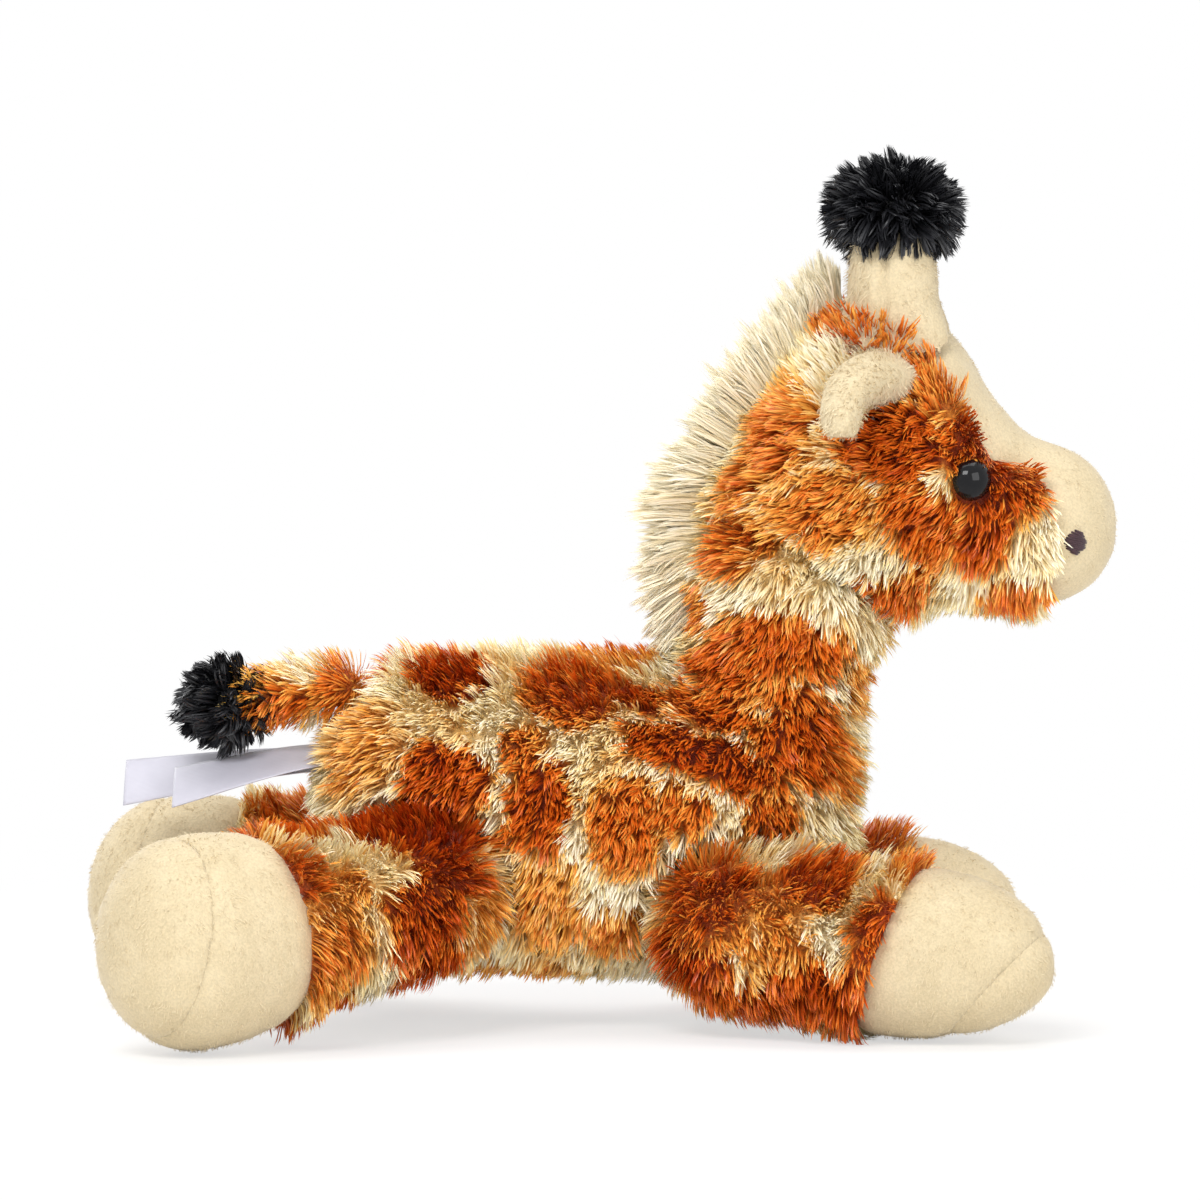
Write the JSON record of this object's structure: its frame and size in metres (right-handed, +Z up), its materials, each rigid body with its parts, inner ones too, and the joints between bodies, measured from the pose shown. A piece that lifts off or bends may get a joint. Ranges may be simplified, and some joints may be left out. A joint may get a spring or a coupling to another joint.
{
  "type": "plush giraffe",
  "caption": "Stuffed toy giraffe lying on four spread hooves, with long patterned fur, a pale face and hooves, a mane, black tufts and a tasselled tail.",
  "frame": {"origin": "on the floor under the middle of the toy's bounding box", "axes": "+X towards the nose, +Y towards the giraffe's left, +Z up"},
  "size_m": [0.2048, 0.1249, 0.1713],
  "materials": {
    "tawny_long_pile": "long polyester pile in burnt orange patches with golden cream lines",
    "cream_short_pile": "short soft pile",
    "cream_long_pile": "long straight pile",
    "black_long_pile": "long straight pile",
    "eye_plastic": "polished dome",
    "washer_plastic": "moulded",
    "nostril_thread": "satin stitch",
    "fibre_filling": "loose fibre",
    "pellet_pouch_cloth": "plain weave",
    "label_ribbon": "satin ribbon, bare"
  },
  "bodies": {
    "torso": {"torso_cover": "tawny_long_pile", "neck_cover": "tawny_long_pile", "torso_filling": "fibre_filling", "belly_pellet_pouch": "pellet_pouch_cloth", "care_label_long": "label_ribbon", "care_label_short": "label_ribbon"},
    "head": {"head_cover": "tawny_long_pile", "face_panel": "cream_short_pile", "head_filling": "fibre_filling", "horn_left": "cream_short_pile", "horn_right": "cream_short_pile", "horn_left_tuft": "black_long_pile", "horn_right_tuft": "black_long_pile", "mane": "cream_long_pile", "eye_left": "eye_plastic", "eye_right": "eye_plastic", "eye_washer_left": "washer_plastic", "eye_washer_right": "washer_plastic", "nostril_left": "nostril_thread", "nostril_right": "nostril_thread"},
    "left_ear": {"ear_left": "cream_short_pile"},
    "right_ear": {"ear_right": "cream_short_pile"},
    "tail": {"tail_cover": "tawny_long_pile", "tail_tassel": "black_long_pile"},
    "hind_right_leg": {"hind_right_leg_cover": "tawny_long_pile", "hind_right_hoof_wall": "cream_short_pile", "hind_right_hoof_sole": "cream_short_pile", "hind_right_leg_filling": "fibre_filling"},
    "hind_left_leg": {"hind_left_leg_cover": "tawny_long_pile", "hind_left_hoof_wall": "cream_short_pile", "hind_left_hoof_sole": "cream_short_pile", "hind_left_leg_filling": "fibre_filling"},
    "front_right_leg": {"front_right_leg_cover": "tawny_long_pile", "front_right_hoof_wall": "cream_short_pile", "front_right_hoof_sole": "cream_short_pile", "front_right_leg_filling": "fibre_filling"},
    "front_left_leg": {"front_left_leg_cover": "tawny_long_pile", "front_left_hoof_wall": "cream_short_pile", "front_left_hoof_sole": "cream_short_pile", "front_left_leg_filling": "fibre_filling"}
  },
  "joints": [
    {"name": "head_nod", "type": "hinge", "parent": "torso", "child": "head", "pos_m": [0.0378, 0.00852, 0.085], "axis": [0, 1, 0], "range_deg": [-8, 16], "stiffness_Nm_per_rad": 0.2, "springref_deg": -0.86},
    {"name": "left_ear_flap", "type": "hinge", "parent": "head", "child": "left_ear", "pos_m": [0.05324, 0.02724, 0.124], "axis": [-0.9112, -0.087, -0.4028], "range_deg": [-20, 14], "stiffness_Nm_per_rad": 0.002},
    {"name": "right_ear_flap", "type": "hinge", "parent": "head", "child": "right_ear", "pos_m": [0.0512, -0.01171, 0.124], "axis": [0.8971, -0.1818, 0.4028], "range_deg": [-20, 14], "stiffness_Nm_per_rad": 0.002},
    {"name": "tail_wag", "type": "hinge", "parent": "torso", "child": "tail", "pos_m": [-0.0492, 0.00852, 0.0658], "axis": [0.0872, 0, -0.9962], "range_deg": [-24, 24], "stiffness_Nm_per_rad": 0.005},
    {"name": "hind_right_leg_spread", "type": "hinge", "parent": "torso", "child": "hind_right_leg", "pos_m": [-0.0337, -0.01548, 0.027], "axis": [0, 0, 1], "range_deg": [-8, 24], "stiffness_Nm_per_rad": 0.01},
    {"name": "hind_left_leg_spread", "type": "hinge", "parent": "torso", "child": "hind_left_leg", "pos_m": [-0.0337, 0.03252, 0.027], "axis": [0, 0, -1], "range_deg": [-8, 24], "stiffness_Nm_per_rad": 0.01},
    {"name": "front_right_leg_spread", "type": "hinge", "parent": "torso", "child": "front_right_leg", "pos_m": [0.0273, -0.01248, 0.02], "axis": [0, 0, -1], "range_deg": [-8, 24], "stiffness_Nm_per_rad": 0.01},
    {"name": "front_left_leg_spread", "type": "hinge", "parent": "torso", "child": "front_left_leg", "pos_m": [0.0273, 0.02952, 0.02], "axis": [0, 0, 1], "range_deg": [-8, 24], "stiffness_Nm_per_rad": 0.01}
  ]
}
